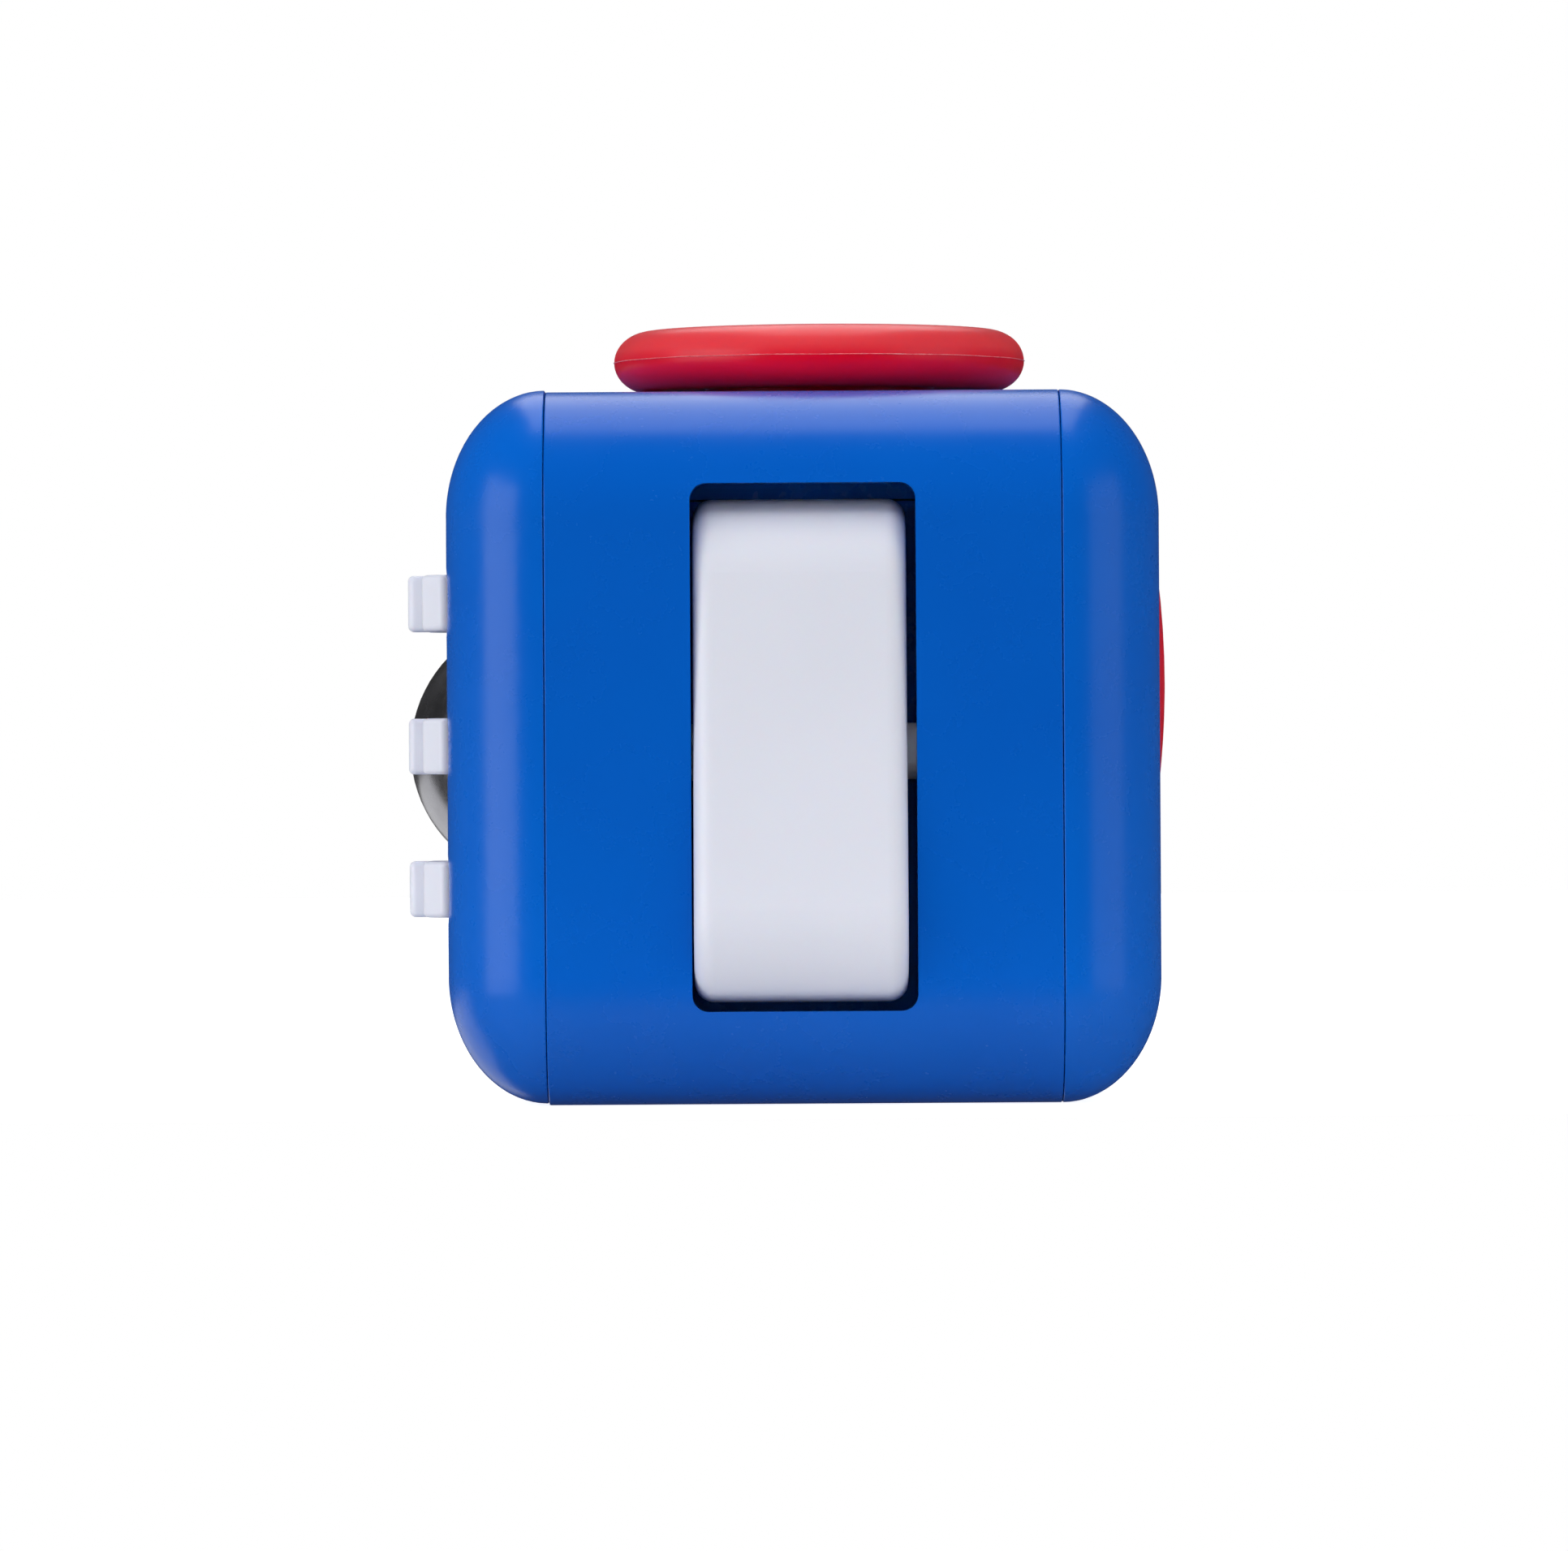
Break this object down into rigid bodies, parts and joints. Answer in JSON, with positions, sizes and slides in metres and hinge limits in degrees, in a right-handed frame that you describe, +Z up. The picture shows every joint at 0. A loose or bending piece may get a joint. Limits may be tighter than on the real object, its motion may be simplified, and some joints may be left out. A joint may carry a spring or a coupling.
{
  "type": "fidget cube",
  "caption": "Pocket cube with a hand toy on each face: flip rocker, gliding disc, gear rollers with a ball, spinning dial, click buttons and a thumb rest.",
  "frame": {"origin": "centre of the flat bottom face that the cube stands on", "axes": "+Z up through the gliding disc, -Y out of the front face with the rocker, +X out of the face with the dial"},
  "size_m": [0.0359, 0.0361, 0.0364],
  "materials": {
    "blue_shell": "satin moulded plastic with a very fine spark-eroded texture",
    "white_plastic": "smooth semi-gloss moulded plastic",
    "red_plastic": "soft satin moulded plastic with a parting line",
    "ball_steel": "rolled and tumbled steel ball, slightly dull",
    "silicone": "soft translucent silicone",
    "circuit_board": "solder-masked board",
    "switch_plastic": "moulded",
    "fastener_steel": "zinc-plated steel",
    "inner_plastic": "moulded, unfinished"
  },
  "bodies": {
    "housing": {"central_band": "blue_shell", "left_cap": "blue_shell", "right_cap": "blue_shell", "rocker_cradle": "blue_shell", "cradle_screws": "fastener_steel", "glide_tray": "blue_shell", "glide_tray_screws": "fastener_steel", "glide_damper_ring": "silicone", "gear_axle": "fastener_steel", "ball_bracket": "inner_plastic", "ball_bracket_screws": "fastener_steel", "ball_spring": "fastener_steel", "click_board": "circuit_board", "click_board_screws": "fastener_steel", "switch_body_centre": "switch_plastic", "switch_body_upper_right": "switch_plastic", "switch_body_lower_left": "switch_plastic", "silicone_pad_upper_left": "silicone", "silicone_pad_lower_right": "silicone"},
    "flip_rocker": {"rocker": "white_plastic", "rocker_plunger_spring": "fastener_steel"},
    "flip_plunger": {"rocker_plunger": "fastener_steel"},
    "carriage": {"glide_carriage": "inner_plastic"},
    "joystick": {"joystick_cap": "red_plastic", "joystick_post": "inner_plastic", "joystick_washer": "fastener_steel", "joystick_screw": "fastener_steel"},
    "roller_lower": {"gear_lower": "white_plastic"},
    "roller_middle": {"gear_middle": "white_plastic"},
    "roller_upper": {"gear_upper": "white_plastic"},
    "ball_carrier": {"ball_cup": "inner_plastic"},
    "ball": {"steel_ball": "ball_steel"},
    "spinner": {"dial": "red_plastic", "dial_washer": "inner_plastic", "dial_wave_washer": "fastener_steel", "dial_screw": "fastener_steel"},
    "click_centre": {"button_centre": "white_plastic", "switch_plunger_centre": "switch_plastic"},
    "click_upper_left": {"button_upper_left": "white_plastic"},
    "click_upper_right": {"button_upper_right": "white_plastic", "switch_plunger_upper_right": "switch_plastic"},
    "click_lower_left": {"button_lower_left": "white_plastic", "switch_plunger_lower_left": "switch_plastic"},
    "click_lower_right": {"button_lower_right": "white_plastic"}
  },
  "joints": [
    {"name": "rocker_flip", "type": "hinge", "parent": "housing", "child": "flip_rocker", "pos_m": [-0.00017, -0.013, 0.0163], "axis": [1, 0, 0], "range_deg": [0, 14]},
    {"name": "plunger_slide", "type": "slide", "parent": "flip_rocker", "child": "flip_plunger", "axis": [0, -0.9925, 0.1219], "range_m": [0, 0.0005], "stiffness_N_per_m": 200, "springref_m": -0.0005, "deforming": ["rocker_plunger_spring"]},
    {"name": "glide_x", "type": "slide", "parent": "housing", "child": "carriage", "axis": [1, 0, 0], "range_m": [-0.00236, 0.00064], "stiffness_N_per_m": 150, "deforming": ["glide_damper_ring"]},
    {"name": "glide_y", "type": "slide", "parent": "carriage", "child": "joystick", "axis": [0, 1, 0], "range_m": [-0.0015, 0.0015], "stiffness_N_per_m": 150},
    {"name": "roller_lower_turn", "type": "hinge", "parent": "housing", "child": "roller_lower", "pos_m": [-0.0135, -0.0066, 0.01], "axis": [0, 0, 1], "continuous": true},
    {"name": "roller_middle_turn", "type": "hinge", "parent": "housing", "child": "roller_middle", "pos_m": [-0.0135, -0.0066, 0.01665], "axis": [0, 0, 1], "continuous": true},
    {"name": "roller_upper_turn", "type": "hinge", "parent": "housing", "child": "roller_upper", "pos_m": [-0.0135, -0.0066, 0.0233], "axis": [0, 0, 1], "continuous": true},
    {"name": "ball_press", "type": "slide", "parent": "housing", "child": "ball_carrier", "axis": [1, 0, 0], "range_m": [0, 0.0008], "stiffness_N_per_m": 1500, "springref_m": -0.0008, "deforming": ["ball_spring"]},
    {"name": "ball_roll", "type": "hinge", "parent": "ball_carrier", "child": "ball", "pos_m": [-0.01243, 0.0054, 0.0165], "axis": [0, 1, 0], "continuous": true},
    {"name": "dial_spin", "type": "hinge", "parent": "housing", "child": "spinner", "pos_m": [0.0165, 0, 0.0173], "axis": [0.9984, 0, -0.0558], "continuous": true},
    {"name": "press_centre", "type": "slide", "parent": "housing", "child": "click_centre", "axis": [0, -1, 0], "range_m": [0, 0.0006], "stiffness_N_per_m": 2000, "springref_m": -0.0004},
    {"name": "press_upper_left", "type": "slide", "parent": "housing", "child": "click_upper_left", "axis": [0, -1, 0], "range_m": [0, 0.001], "stiffness_N_per_m": 900, "springref_m": -0.0004, "deforming": ["silicone_pad_upper_left"]},
    {"name": "press_upper_right", "type": "slide", "parent": "housing", "child": "click_upper_right", "axis": [0, -1, 0], "range_m": [0, 0.0006], "stiffness_N_per_m": 2000, "springref_m": -0.0004},
    {"name": "press_lower_left", "type": "slide", "parent": "housing", "child": "click_lower_left", "axis": [0, -1, 0], "range_m": [0, 0.0006], "stiffness_N_per_m": 2000, "springref_m": -0.0004},
    {"name": "press_lower_right", "type": "slide", "parent": "housing", "child": "click_lower_right", "axis": [0, -1, 0], "range_m": [0, 0.001], "stiffness_N_per_m": 900, "springref_m": -0.0004, "deforming": ["silicone_pad_lower_right"]}
  ]
}
